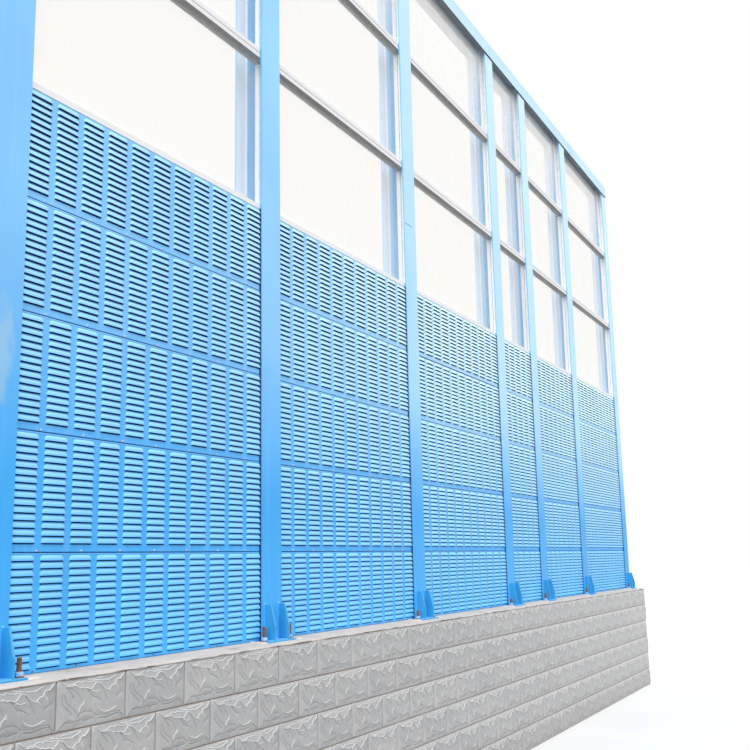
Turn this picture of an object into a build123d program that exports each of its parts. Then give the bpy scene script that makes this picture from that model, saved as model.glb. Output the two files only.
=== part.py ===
"""Roadside noise barrier: louvred steel panels and framed panes between H-section posts on a tiled wall.

The frame is in millimetres. X runs along the wall, the road face looks to -Y, and Z is up from the
foot of the wall. The posts' centre plane is Y = 0 and the middle of the wall's length is X = 0.
"""
from build123d import *
import os

# Bays, from post centre line to post centre line
STANDARD_BAY = 2000.0
NARROW_BAY = 1000.0
MIDDLE_BAY = 1500.0
BAY_WIDTHS = [STANDARD_BAY] * 3 + [NARROW_BAY, MIDDLE_BAY, STANDARD_BAY]

# Base wall, in two lengths with a movement joint between them
WALL_THICKNESS = 500.0
WALL_HEIGHT = 1200.0
WALL_PAST_END_POST = 250.0
WALL_LEFT_LENGTH = 6765.0
MOVEMENT_JOINT = 10.0

# Post feet: a base plate on a grout pad, with gussets in front of and behind the post
GROUT_THICKNESS = 4.0
PLATE_SIDE = 350.0
PLATE_THICKNESS = 14.0
GUSSET_THICKNESS = 12.0
GUSSET_SPACING = 140.0
GUSSET_HEIGHT = 195.0
GUSSET_KNEE_HEIGHT = 80.0
GUSSET_TOP_REACH = 40.0
GUSSET_EDGE_SETBACK = 5.0

# Mortar coping, flat under the panels and falling to both edges of the wall
COPING_LIP = 6.0
COPING_CREST_HALF = 90.0

# Posts, rolled wide-flange sections
POST_DEPTH = 200.0
FLANGE_WIDTH = 200.0
FLANGE_THICKNESS = 12.0
WEB_THICKNESS = 8.0
ROOT_RADIUS = 13.0
POST_HEAD_CLEARANCE = 10.0

# Louvred panels, with the lowest one cut down to clear the foot of the bay
PANELS_PER_BAY = 5
PANEL_PITCH = 500.0
BOTTOM_PANEL_TRIM = 18.0
PANEL_THICKNESS = 100.0
PANEL_FACE_SETBACK = 15.0
PANEL_END_CLEARANCE = 6.0
PANEL_STACK_GAP = 0.3
TONGUE_WIDTH = 30.0
TONGUE_HEIGHT = 8.0
TONGUE_CLEARANCE = 1.0
LOUVRE_ROWS = 15
LOUVRE_PITCH = 30.6
FIRST_LOUVRE_HEIGHT = 36.0
HOOD_DEPTH = 9.0
HOOD_HEIGHT = 25.0
HOOD_SHOULDER_DEPTH = 7.0
HOOD_SHOULDER_HEIGHT = 11.0
HOOD_SIDE_CLEARANCE = 2.0

# Glazing frames and panes
FRAMES_PER_BAY = 3
FRAME_PITCH = 1000.0
FRAME_FACE = 30.0
FRAME_DEPTH = 80.0
FRAME_END_CLEARANCE = 6.0
FRAME_STACK_GAP = 0.3
PANE_THICKNESS = 8.0
PANE_FACE_CLEARANCE = 0.3
PANE_EDGE_CLEARANCE = 3.0
GROOVE_DEPTH = 15.0

# Top rail, an inverted channel over the post heads
RAIL_HEIGHT = 138.0
RAIL_THICKNESS = 6.0
RAIL_SIDE_CLEARANCE = 6.0
RAIL_BUTT_GAP = 4.0

# Places that follow from the sizes above
BARRIER_LENGTH = sum(BAY_WIDTHS)
POST_X = [sum(BAY_WIDTHS[:count]) - BARRIER_LENGTH / 2 for count in range(len(BAY_WIDTHS) + 1)]
PLATE_TOP = WALL_HEIGHT + GROUT_THICKNESS + PLATE_THICKNESS
PANEL_BASE = PLATE_TOP - BOTTOM_PANEL_TRIM
GLAZING_BASE = PANEL_BASE + PANELS_PER_BAY * PANEL_PITCH
STACK_TOP = GLAZING_BASE + FRAMES_PER_BAY * FRAME_PITCH
POST_TOP = STACK_TOP + POST_HEAD_CLEARANCE
PANEL_FRONT = PANEL_FACE_SETBACK - POST_DEPTH / 2
PANEL_BACK = PANEL_FRONT + PANEL_THICKNESS
FRAME_BACK = PANEL_FRONT + FRAME_DEPTH
PANE_MIDDLE = (PANEL_FRONT + FRAME_BACK) / 2


def block(x_range, y_range, z_range):
    """A plain block between two corners."""
    (x0, x1), (y0, y1), (z0, z1) = x_range, y_range, z_range
    centre = Pos((x0 + x1) / 2, (y0 + y1) / 2, (z0 + z1) / 2)
    return centre * Box(x1 - x0, y1 - y0, z1 - z0)


def bar(outline, x_start, x_end):
    """A closed outline of (y, z) points, carried along the wall from x_start to x_end."""
    face = make_face(Polyline(*[(x_start, y, z) for y, z in outline], close=True))
    return extrude(face, amount=x_end - x_start, dir=(1, 0, 0))


def write_node(name, solids):
    """Write one named piece, or a set of like pieces, as a STEP file."""
    shape = solids[0] if len(solids) == 1 else Compound(children=solids)
    shape.label = name
    export_step(shape, os.path.join("parts", f"{name}.step"))


def bay_span(bay, end_clearance):
    """Where a bay's panel or frame starts and ends, clear of the webs of its two posts."""
    inset = WEB_THICKNESS / 2 + end_clearance
    return POST_X[bay] + inset, POST_X[bay + 1] - inset


def base_walls():
    """The two lengths of wall, apart by the movement joint."""
    start = POST_X[0] - WALL_PAST_END_POST
    joint = start + WALL_LEFT_LENGTH
    depth = (-WALL_THICKNESS / 2, WALL_THICKNESS / 2)
    height = (0, WALL_HEIGHT)
    left = block((start, joint - MOVEMENT_JOINT / 2), depth, height)
    right = block((joint + MOVEMENT_JOINT / 2, POST_X[-1] + WALL_PAST_END_POST), depth, height)
    return left, right


def grout_pads():
    """A levelling pad under every base plate, as deep as the wall."""
    half_plate = PLATE_SIDE / 2
    depth = (-WALL_THICKNESS / 2, WALL_THICKNESS / 2)
    height = (WALL_HEIGHT, WALL_HEIGHT + GROUT_THICKNESS)
    return [block((x - half_plate, x + half_plate), depth, height) for x in POST_X]


def coping_pieces():
    """Mortar between the base plates, up to the panels' underside and sloped to both edges."""
    edge = WALL_THICKNESS / 2
    lip = WALL_HEIGHT + COPING_LIP
    outline = [
        (-edge, WALL_HEIGHT),
        (-edge, lip),
        (-COPING_CREST_HALF, PLATE_TOP),
        (COPING_CREST_HALF, PLATE_TOP),
        (edge, lip),
        (edge, WALL_HEIGHT),
    ]
    half_plate = PLATE_SIDE / 2
    starts = [POST_X[0] - WALL_PAST_END_POST] + [x + half_plate for x in POST_X]
    ends = [x - half_plate for x in POST_X] + [POST_X[-1] + WALL_PAST_END_POST]
    return [bar(outline, start, end) for start, end in zip(starts, ends)]


def post_foot(post_x):
    """Base plate with two gussets on each side of the post, welded into one piece."""
    half_plate = PLATE_SIDE / 2
    foot = block(
        (post_x - half_plate, post_x + half_plate),
        (-half_plate, half_plate),
        (WALL_HEIGHT + GROUT_THICKNESS, PLATE_TOP),
    )
    flange_face = POST_DEPTH / 2
    outer_edge = half_plate - GUSSET_EDGE_SETBACK
    for side in (-1, 1):
        outline = [
            (side * flange_face, PLATE_TOP),
            (side * outer_edge, PLATE_TOP),
            (side * outer_edge, PLATE_TOP + GUSSET_KNEE_HEIGHT),
            (side * (flange_face + GUSSET_TOP_REACH), PLATE_TOP + GUSSET_HEIGHT),
            (side * flange_face, PLATE_TOP + GUSSET_HEIGHT),
        ]
        for offset in (-GUSSET_SPACING / 2, GUSSET_SPACING / 2):
            start = post_x + offset - GUSSET_THICKNESS / 2
            foot += bar(outline, start, start + GUSSET_THICKNESS)
    return foot


def post_section():
    """H-section with its flanges along the wall and rolled root fillets."""
    pocket_depth = POST_DEPTH - 2 * FLANGE_THICKNESS
    pocket_width = (FLANGE_WIDTH - WEB_THICKNESS) / 2
    pocket_x = WEB_THICKNESS / 2 + pocket_width / 2
    section = Rectangle(FLANGE_WIDTH, POST_DEPTH)
    for side in (-1, 1):
        section -= Pos(side * pocket_x, 0) * Rectangle(pocket_width, pocket_depth)
    roots = section.vertices().filter_by_position(Axis.X, -WEB_THICKNESS / 2, WEB_THICKNESS / 2)
    return fillet(roots, ROOT_RADIUS)


def post(post_x):
    """One post, standing on its base plate."""
    return Pos(post_x, 0, PLATE_TOP) * extrude(post_section(), POST_TOP - PLATE_TOP)


def hood_outline(foot):
    """Section of one louvre hood: a bent sheet that leans out from the panel and ends in a lip."""
    return [
        (PANEL_FRONT, foot),
        (PANEL_FRONT - HOOD_DEPTH, foot),
        (PANEL_FRONT - HOOD_SHOULDER_DEPTH, foot + HOOD_SHOULDER_HEIGHT),
        (PANEL_FRONT, foot + HOOD_HEIGHT),
    ]


def panel_outline(base, top, has_tongue):
    """Section of a panel's box, with a groove below and a tongue above."""
    middle = (PANEL_FRONT + PANEL_BACK) / 2
    groove_half = TONGUE_WIDTH / 2 + TONGUE_CLEARANCE
    groove_top = base + TONGUE_HEIGHT + TONGUE_CLEARANCE
    outline = [
        (PANEL_BACK, base),
        (middle + groove_half, base),
        (middle + groove_half, groove_top),
        (middle - groove_half, groove_top),
        (middle - groove_half, base),
        (PANEL_FRONT, base),
        (PANEL_FRONT, top),
    ]
    if has_tongue:
        outline += [
            (middle - TONGUE_WIDTH / 2, top),
            (middle - TONGUE_WIDTH / 2, top + TONGUE_HEIGHT),
            (middle + TONGUE_WIDTH / 2, top + TONGUE_HEIGHT),
            (middle + TONGUE_WIDTH / 2, top),
        ]
    outline.append((PANEL_BACK, top))
    return outline


def louvred_panel(bay, level):
    """One panel: its box goes into the posts' pockets and its hoods stay between the flanges.

    The lowest panel is trimmed at its foot, and the highest is flat on top to carry the glazing.
    """
    full_base = PANEL_BASE + level * PANEL_PITCH
    top = full_base + PANEL_PITCH - PANEL_STACK_GAP
    outline = panel_outline(max(full_base, PLATE_TOP), top, level < PANELS_PER_BAY - 1)
    start, end = bay_span(bay, PANEL_END_CLEARANCE)
    inset = FLANGE_WIDTH / 2 + HOOD_SIDE_CLEARANCE
    hoods = [
        bar(
            hood_outline(full_base + FIRST_LOUVRE_HEIGHT + row * LOUVRE_PITCH),
            POST_X[bay] + inset,
            POST_X[bay + 1] - inset,
        )
        for row in range(LOUVRE_ROWS)
    ]
    return bar(outline, start, end) + hoods


def frame_heights(level):
    """Foot and head of one glazing frame."""
    foot = GLAZING_BASE + level * FRAME_PITCH
    return foot, foot + FRAME_PITCH - FRAME_STACK_GAP


def glazing_frame(bay, level):
    """One aluminium frame with a groove for the pane all round its opening."""
    start, end = bay_span(bay, FRAME_END_CLEARANCE)
    foot, head = frame_heights(level)
    groove_inset = FRAME_FACE - GROOVE_DEPTH
    groove_half = PANE_THICKNESS / 2 + PANE_FACE_CLEARANCE
    frame = block((start, end), (PANEL_FRONT, FRAME_BACK), (foot, head))
    frame -= block(
        (start + FRAME_FACE, end - FRAME_FACE),
        (PANEL_FRONT, FRAME_BACK),
        (foot + FRAME_FACE, head - FRAME_FACE),
    )
    frame -= block(
        (start + groove_inset, end - groove_inset),
        (PANE_MIDDLE - groove_half, PANE_MIDDLE + groove_half),
        (foot + groove_inset, head - groove_inset),
    )
    return frame


def pane(bay, level):
    """One clear sheet, held in its frame's groove."""
    start, end = bay_span(bay, FRAME_END_CLEARANCE)
    foot, head = frame_heights(level)
    inset = FRAME_FACE - GROOVE_DEPTH + PANE_EDGE_CLEARANCE
    return block(
        (start + inset, end - inset),
        (PANE_MIDDLE - PANE_THICKNESS / 2, PANE_MIDDLE + PANE_THICKNESS / 2),
        (foot + inset, head - inset),
    )


def top_rail(bay):
    """One length of folded channel, butted to the next over a post's centre line."""
    last = len(BAY_WIDTHS) - 1
    start = POST_X[bay] + (RAIL_BUTT_GAP / 2 if bay > 0 else -FLANGE_WIDTH / 2)
    end = POST_X[bay + 1] + (-RAIL_BUTT_GAP / 2 if bay < last else FLANGE_WIDTH / 2)
    inner = POST_DEPTH / 2 + RAIL_SIDE_CLEARANCE
    outer = inner + RAIL_THICKNESS
    top = POST_TOP + RAIL_THICKNESS
    skirt = top - RAIL_HEIGHT
    outline = [
        (-outer, skirt),
        (-outer, top),
        (outer, top),
        (outer, skirt),
        (inner, skirt),
        (inner, POST_TOP),
        (-inner, POST_TOP),
        (-inner, skirt),
    ]
    return bar(outline, start, end)


def main():
    """Write every piece of the barrier."""
    os.makedirs("parts", exist_ok=True)
    wall_left, wall_right = base_walls()
    write_node("base_wall_left", [wall_left])
    write_node("base_wall_right", [wall_right])
    write_node("grout_pads", grout_pads())
    write_node("mortar_coping", coping_pieces())
    for number, post_x in enumerate(POST_X, start=1):
        write_node(f"post_{number}", [post(post_x)])
        write_node(f"post_foot_{number}", [post_foot(post_x)])
    for bay in range(len(BAY_WIDTHS)):
        panels = [louvred_panel(bay, level) for level in range(PANELS_PER_BAY)]
        write_node(f"louvred_panels_{bay + 1}", panels)
        frames = [glazing_frame(bay, level) for level in range(FRAMES_PER_BAY)]
        write_node(f"glazing_frames_{bay + 1}", frames)
        write_node(f"panes_{bay + 1}", [pane(bay, level) for level in range(FRAMES_PER_BAY)])
        write_node(f"top_rail_{bay + 1}", [top_rail(bay)])


main()
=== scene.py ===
"""Looks of a roadside noise barrier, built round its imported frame.

Metres. X runs along the wall, the road face looks to -Y, Z is up from the foot of the wall.
"""

import math
import random
from itertools import groupby

import bpy
import numpy as np
from mathutils import Matrix, Vector
from mathutils.geometry import delaunay_2d_cdt


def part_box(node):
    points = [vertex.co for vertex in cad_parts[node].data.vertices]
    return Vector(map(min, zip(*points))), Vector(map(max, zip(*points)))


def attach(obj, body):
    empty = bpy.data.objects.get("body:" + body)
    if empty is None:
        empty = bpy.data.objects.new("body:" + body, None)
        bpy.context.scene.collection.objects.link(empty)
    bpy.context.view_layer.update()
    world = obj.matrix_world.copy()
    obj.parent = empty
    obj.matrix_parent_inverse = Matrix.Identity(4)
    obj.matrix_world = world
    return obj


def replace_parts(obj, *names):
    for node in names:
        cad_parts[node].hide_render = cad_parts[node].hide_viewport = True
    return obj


bl_info = {
    "name": "Noise barrier section",
    "version": (1, 0, 0),
    "blender": (4, 5, 0),
    "location": "3D View > Sidebar > Barrier",
    "description": "Builds the visible pieces of a roadside noise barrier round its packed frame",
    "category": "Object",
}

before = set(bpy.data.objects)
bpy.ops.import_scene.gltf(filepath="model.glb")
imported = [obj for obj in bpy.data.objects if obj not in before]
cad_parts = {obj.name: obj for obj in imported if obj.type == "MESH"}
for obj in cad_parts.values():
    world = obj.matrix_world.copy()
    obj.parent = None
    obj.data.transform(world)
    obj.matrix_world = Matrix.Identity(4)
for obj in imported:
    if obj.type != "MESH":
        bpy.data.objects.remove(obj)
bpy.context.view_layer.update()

BAYS = range(1, 7)
POSTS = range(1, 8)
ROAD_SIDE, BACK_SIDE = -1, 1


def middle_x(node):
    low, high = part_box(node)
    return (low.x + high.x) / 2


POST_X = [middle_x(f"post_{n}") for n in POSTS]
POST_LOW, POST_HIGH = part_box("post_1")
HALF_FLANGE = (POST_HIGH.x - POST_LOW.x) / 2
PLATE_TOP = POST_LOW.z
FOOT_LOW, FOOT_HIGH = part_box("post_foot_1")
HALF_PLATE = (FOOT_HIGH.x - FOOT_LOW.x) / 2
WALL_LOW, WALL_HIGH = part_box("base_wall_left")
WALL_FRONT, WALL_TOP = WALL_LOW.y, WALL_HIGH.z
WALL_START, WALL_END = WALL_LOW.x, -WALL_LOW.x
JOINT_LEFT, JOINT_RIGHT = WALL_HIGH.x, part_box("base_wall_right")[0].x
HOOD_DEPTH = 0.009
SHEET_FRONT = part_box("louvred_panels_1")[0].y + HOOD_DEPTH
SHEET_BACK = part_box("louvred_panels_1")[1].y
PANEL_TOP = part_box("louvred_panels_1")[1].z
RAIL_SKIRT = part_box("top_rail_1")[0].z
FRAME_FACE = 0.03


def length(name, description, default):
    return bpy.props.FloatProperty(name=name, description=description, default=default, unit="LENGTH")


def tint(name, description, default):
    return bpy.props.FloatVectorProperty(name=name, description=description, default=default, subtype="COLOR")


class BarrierSizes(bpy.types.PropertyGroup):
    louvre_spacing: length("Louvre spacing", "Distance between columns of louvres", 1 / 6)
    louvre_length: length("Louvre length", "Length of one louvre", 0.134)
    louvre_pitch: length("Louvre pitch", "Height from one louvre to the next", 0.0306)
    louvre_rows: bpy.props.IntProperty(
        name="Louvre rows", description="Louvres one above the other in a panel", default=15, min=1)
    first_louvre: length("First louvre", "Height of the lowest slot above the panel's foot", 0.036)
    panel_pitch: length("Panel pitch", "Height of one louvred panel", 0.5)
    rivet_spacing: length("Rivet spacing", "Distance between rivets along a panel joint", 0.25)
    tile_length: length("Tile length", "Length of one tile without its joint", 0.4)
    tile_height: length("Tile height", "Height of one tile without its joint", 0.1955)
    tile_joint: length("Tile joint", "Width of the grout between tiles", 0.005)
    rod_height: length("Rod height", "Height of an anchor rod above its base plate", 0.068)


class BarrierColours(bpy.types.PropertyGroup):
    # From low to high, the sheet, louvre and post tones run through painted glare that grows with height.
    sheet_low: tint("Sheet, low", "Blue of the lowest panels", (0.06, 0.40, 0.88))
    sheet_middle: tint("Sheet, middle", "Blue of the panels where paint begins to pale", (0.31, 0.63, 0.97))
    sheet_high: tint("Sheet, high", "Paler blue of the highest panels", (0.56, 0.82, 1.0))
    # The louvres' tones are the panels' blue made paler as a painted sheen of sky light on the pressed hoods.
    louvre_sheen_low: tint("Louvres, low", "Blue of the lowest louvres, which face the sky", (0.095, 0.45, 0.92))
    louvre_sheen_middle: tint("Louvres, middle", "Blue of the louvres half-way up", (0.37, 0.68, 0.94))
    louvre_sheen_high: tint("Louvres, high", "Paler blue of the highest louvres", (0.70, 0.96, 1.0))
    post_low: tint("Post paint, low", "Blue of the posts near their feet", (0.045, 0.375, 0.84))
    post_middle: tint("Post paint, middle", "Blue of the posts beside the highest panels", (0.33, 0.65, 0.98))
    post_high: tint("Post paint, high", "Paler blue of the posts' heads", (0.62, 0.84, 0.985))
    # The next two tones are painted light: shade on the posts' webs inside their pockets, and glare from the
    # panes' reflection on the faces behind them.
    pocket_shade: tint("Post paint, sheltered", "Deep blue inside the posts' pockets", (0.03, 0.26, 0.5))
    glare_behind_glass: tint("Paint, bared", "Chalky blue inside the rear flanges and the rail", (0.85, 0.9, 0.96))
    rail: tint("Rail paint", "Pale blue of the top rail", (0.55, 0.78, 0.96))
    # The base plates and gussets carry the posts' paint; this darker blue is painted shade.
    foot: tint("Foot paint", "Blue of the base plates and gussets", (0.034, 0.32, 0.64))
    # Dust with a painted sheen of sky light on painted faces that look up.
    dust_and_sheen_low: tint("Dust, low", "Pale film on low painted faces that look up", (0.33, 0.72, 1.0))
    dust_and_sheen_high: tint("Dust, high", "Paler film on high painted faces that look up", (0.85, 1.0, 1.0))
    # Painted shade for the louvres' openings and the panel joints.
    slot: tint("Slot", "Dark of the openings under the louvres", (0.006, 0.034, 0.12))
    tile: tint("Tile", "Grey of the moulded tiles", (0.385, 0.392, 0.404))
    grout: tint("Grout", "Brown of the tile joints", (0.33, 0.25, 0.20))
    mortar: tint("Mortar", "Cream of the coping", (0.68, 0.62, 0.565))
    aluminium: tint("Frame", "White silver of the glazing frames", (0.985, 0.97, 0.94))
    pane: tint("Pane", "Faint cream of the clear panes", (0.955, 0.942, 0.92))
    gasket: tint("Gasket", "Dusty grey of the rubber round the panes", (0.62, 0.58, 0.5))
    rust: tint("Rust", "Brown of the anchor rods", (0.13, 0.055, 0.03))


def sizes():
    return bpy.context.scene.barrier_sizes


def colours():
    return bpy.context.scene.barrier_colours


# Node materials

def feed(node, values):
    """Set a node's inputs to values, or link them to other nodes' outputs."""
    for key, value in values.items():
        if isinstance(value, bpy.types.NodeSocket):
            node.id_data.links.new(value, node.inputs[key])
        else:
            node.inputs[key].default_value = value


def add_node(tree, kind, values=None, **settings):
    """A node with its settings and inputs."""
    node = tree.nodes.new(kind)
    for key, value in settings.items():
        setattr(node, key, value)
    feed(node, values or {})
    return node


def opaque(colour):
    return (*colour[:3], 1.0)


def scaled(colour, factor):
    return [c * factor for c in colour]


def maths(tree, operation, first, second=0.0):
    """Result of a calculation with one or two numbers."""
    return add_node(tree, "ShaderNodeMath", {0: first, 1: second}, operation=operation).outputs[0]


def mixed(tree, factor, first, second, blend="MIX"):
    """Colour output of two colours mixed by a factor."""
    values = {0: factor, 6: first, 7: second}
    return add_node(tree, "ShaderNodeMix", values, data_type="RGBA", blend_type=blend).outputs[2]


def over(tree, share, tone, colour):
    """Tone with a share of one plain colour over it."""
    return mixed(tree, share, tone, opaque(colour))


def dimmed(tree, tone, value):
    """Tone times a grey value."""
    grey = add_node(tree, "ShaderNodeCombineColor", {0: value, 1: value, 2: value}).outputs[0]
    return mixed(tree, 1.0, tone, grey, "MULTIPLY")


def mapped(tree, value, low, high, out_low=0.0, out_high=1.0):
    """Value remapped from one range to another, clamped."""
    return add_node(tree, "ShaderNodeMapRange",
                    {0: value, 1: low, 2: high, 3: out_low, 4: out_high}).outputs[0]


def coordinates(tree):
    """The object's own coordinates, which are the barrier's."""
    return add_node(tree, "ShaderNodeTexCoord").outputs["Object"]


def parts_of(tree, vector):
    """X, Y and Z of a vector."""
    return add_node(tree, "ShaderNodeSeparateXYZ", {0: vector}).outputs


def facing(tree):
    """X, Y and Z of the direction that the surface faces."""
    return parts_of(tree, add_node(tree, "ShaderNodeNewGeometry").outputs["Normal"])


def noise_at(tree, scale, stretch=(1, 1, 1), detail=4.0, roughness=0.55, shift=0.0):
    """Noise over the barrier's coordinates."""
    place = add_node(tree, "ShaderNodeMapping", {0: coordinates(tree), 1: (shift, shift, shift), 3: stretch})
    values = {"Vector": place.outputs[0], "Scale": scale, "Detail": detail, "Roughness": roughness}
    return add_node(tree, "ShaderNodeTexNoise", values).outputs[0]


def patchy(tree, scale, span, **noise):
    """Noise remapped by a span: two values of the noise and, unless 0 and 1, the results there."""
    return mapped(tree, noise_at(tree, scale, **noise), *span)


def bumped(tree, height, strength, distance, under=None):
    values = {"Height": height, "Strength": strength, "Distance": distance}
    if under is not None:
        values["Normal"] = under
    return add_node(tree, "ShaderNodeBump", values).outputs[0]


def any_ray(tree, *kinds):
    """1 for rays of the named kinds, 0 for others."""
    path = add_node(tree, "ShaderNodeLightPath").outputs
    share = path[kinds[0]]
    for kind in kinds[1:]:
        share = maths(tree, "MAXIMUM", share, path[kind])
    return share


def ramp(tree, share, stops):
    """Colour along (position, colour) stops as the share goes from 0 to 1."""
    node = add_node(tree, "ShaderNodeValToRGB", {0: share})
    steps = node.color_ramp.elements
    while len(steps) < len(stops):
        steps.new(0.5)
    for n, (position, colour) in enumerate(stops):
        steps[n].position = position
        steps[n].color = opaque(colour)
    return node.outputs[0]


def even_ramp(tree, share, tones):
    """Colour that runs through evenly spaced tones as the share goes from 0 to 1."""
    return ramp(tree, share, [(n / (len(tones) - 1), tone) for n, tone in enumerate(tones)])


def curve_of(tree, value, points):
    """Value run through straight pieces between (value, result) points, results from 0 to 1."""
    low, high = points[0][0], points[-1][0]
    stops = [((at - low) / (high - low), (result, result, result)) for at, result in points]
    return ramp(tree, mapped(tree, value, low, high), stops)


def new_finish(name):
    """A new node material, its tree and its surface shader."""
    finish = bpy.data.materials.new(name)
    finish.use_nodes = True
    return finish, finish.node_tree, finish.node_tree.nodes["Principled BSDF"]


# Painted glare pales the paint along these curves of (height, share), and painted haze pales it from the
# left-hand end to the middle.
GLARE_RISES = [(2.0, 0.02), (2.4, 0.25), (2.9, 0.62), (3.4, 0.73), (4.4, 0.83), (6.4, 1.0)]
LOUVRE_GLARE_RISES = [(1.3, 0.0), (3.7, 1.0)]
HAZE_START_X, HAZE_END_X, HAZE_AT_START = -4.0, -0.6, 0.43
# Distances from the wall's middle between which the painted shade on the posts' webs ends and the painted
# glare behind them begins, at the fillets
POCKET_DEPTH = (0.074, 0.077)
# The stain on the first post
SCUFF = {"centre": (POST_X[0], SHEET_FRONT, 2.51), "reach": (0.062, 0.1, 0.21), "colour": (0.35, 0.55, 0.7),
         "strength": 0.6}


def painted_glare_and_haze(tree, rises):
    """Share by which paint is painted paler: glare that grows with height, and haze along the wall."""
    along, _, height = parts_of(tree, coordinates(tree))
    along = mapped(tree, along, HAZE_START_X, HAZE_END_X, HAZE_AT_START, 1.0)
    return maths(tree, "MULTIPLY", curve_of(tree, height, rises), along)


def scuffed(tree, base, centre, reach, colour, strength):
    """Base colour with one ragged stain round a centre, as far as its reach along each axis."""
    shift = [-c / r for c, r in zip(centre, reach)]
    values = {0: coordinates(tree), 1: shift, 3: [1 / r for r in reach]}
    place = add_node(tree, "ShaderNodeMapping", values).outputs[0]
    away = add_node(tree, "ShaderNodeVectorMath", {0: place}, operation="LENGTH").outputs["Value"]
    ragged = patchy(tree, 14.0, (0.3, 0.7, -0.35, 0.35), stretch=(1.6, 1.0, 0.7), detail=5.0)
    edge = maths(tree, "ADD", away, ragged)
    return over(tree, mapped(tree, edge, 0.5, 1.15, strength, 0.0), base, colour)


def pocket_shade_and_glare(tree, base, outward, pocket_shade, glare_behind_glass):
    """Base colour with painted shade on the web inside a pocket and painted glare, for the panes' reflection,
    on what stands behind it.
    """
    across = parts_of(tree, coordinates(tree))[1]
    within = mapped(tree, maths(tree, "ABSOLUTE", across), *POCKET_DEPTH, pocket_shade, 0.0)
    base = over(tree, within, base, colours().pocket_shade)
    behind = mapped(tree, across, *POCKET_DEPTH, 0.0, glare_behind_glass)
    glare_share = maths(tree, "MULTIPLY", behind, mapped(tree, outward, -0.1, -0.5))
    return over(tree, glare_share, base, colours().glare_behind_glass)


def painted_steel(name, tones, rises=GLARE_RISES, wave=0.05, streaks=0.15, sides=1.0, grime_and_shade=0.0,
                  pocket_shade=0.0, glare_behind_glass=0.0, scuff=None):
    """Satin paint with painted glare that grows with height and painted haze along the wall, run-off streaks,
    dust with a painted sheen on faces that look up, painted shade on faces that look down, and gentle waves.

    Faces that don't look to the road take only the share named sides of that painted glare and haze.
    """
    finish, tree, surface = new_finish(name)
    # Painted glare and haze: the paint is made paler with height and along the wall.
    pale = painted_glare_and_haze(tree, rises)
    _, outward, upward = facing(tree)
    turned = mapped(tree, outward, -0.75, -0.2, 1.0, sides)
    base = even_ramp(tree, maths(tree, "MULTIPLY", pale, turned), tones)
    base = dimmed(tree, base, patchy(tree, 1.6, (0.3, 0.7, 0.93, 1.05), detail=5.0))
    run = patchy(tree, 9.0, (0.52, 0.78, 0.0, streaks), stretch=(3.0, 3.0, 0.12), detail=6.0)
    base = over(tree, run, base, (0.42, 0.66, 0.9))
    spots = patchy(tree, 95.0, (0.74, 0.8, 0.0, 0.4), detail=2.0, shift=3.0)
    base = over(tree, spots, base, (0.5, 0.62, 0.72))
    # Faces that look up are paler: dust with a painted sheen of sky light.
    dust_and_sheen = even_ramp(tree, pale, (colours().dust_and_sheen_low, colours().dust_and_sheen_high))
    base = mixed(tree, mapped(tree, upward, 0.1, 0.75, 0.0, 0.65), base, dust_and_sheen)
    # Faces that look down are darkened: painted shade.
    if grime_and_shade:
        base = over(tree, mapped(tree, upward, -0.2, -0.8, 0.0, grime_and_shade), base, (0.09, 0.09, 0.095))
    # Painted shade inside the posts' pockets, and painted glare on the faces behind the panes.
    if glare_behind_glass:
        base = pocket_shade_and_glare(tree, base, outward, pocket_shade, glare_behind_glass)
    if scuff:
        base = scuffed(tree, base, **scuff)
    peel = bumped(tree, noise_at(tree, 260.0, detail=2.0), 0.05, 0.001)
    waves = bumped(tree, noise_at(tree, 2.2, (1, 1, 0.6), 2.0), wave, 0.02, peel)
    feed(surface, {"Base Color": base, "Roughness": patchy(tree, 12.0, (0.3, 0.7, 0.42, 0.55)),
                   "Normal": waves, "Specular IOR Level": 0.25})
    return finish


def slot_dark(name):
    """Painted shade for the hollow behind a louvre, the hood's underside and the joints between panels."""
    finish, tree, surface = new_finish(name)
    deep = colours().slot
    tone = over(tree, patchy(tree, 40.0, (0.3, 0.7)), opaque(deep), scaled(deep, 1.9))
    feed(surface, {"Base Color": tone, "Roughness": 0.8, "Specular IOR Level": 0.1})
    return finish


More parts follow.
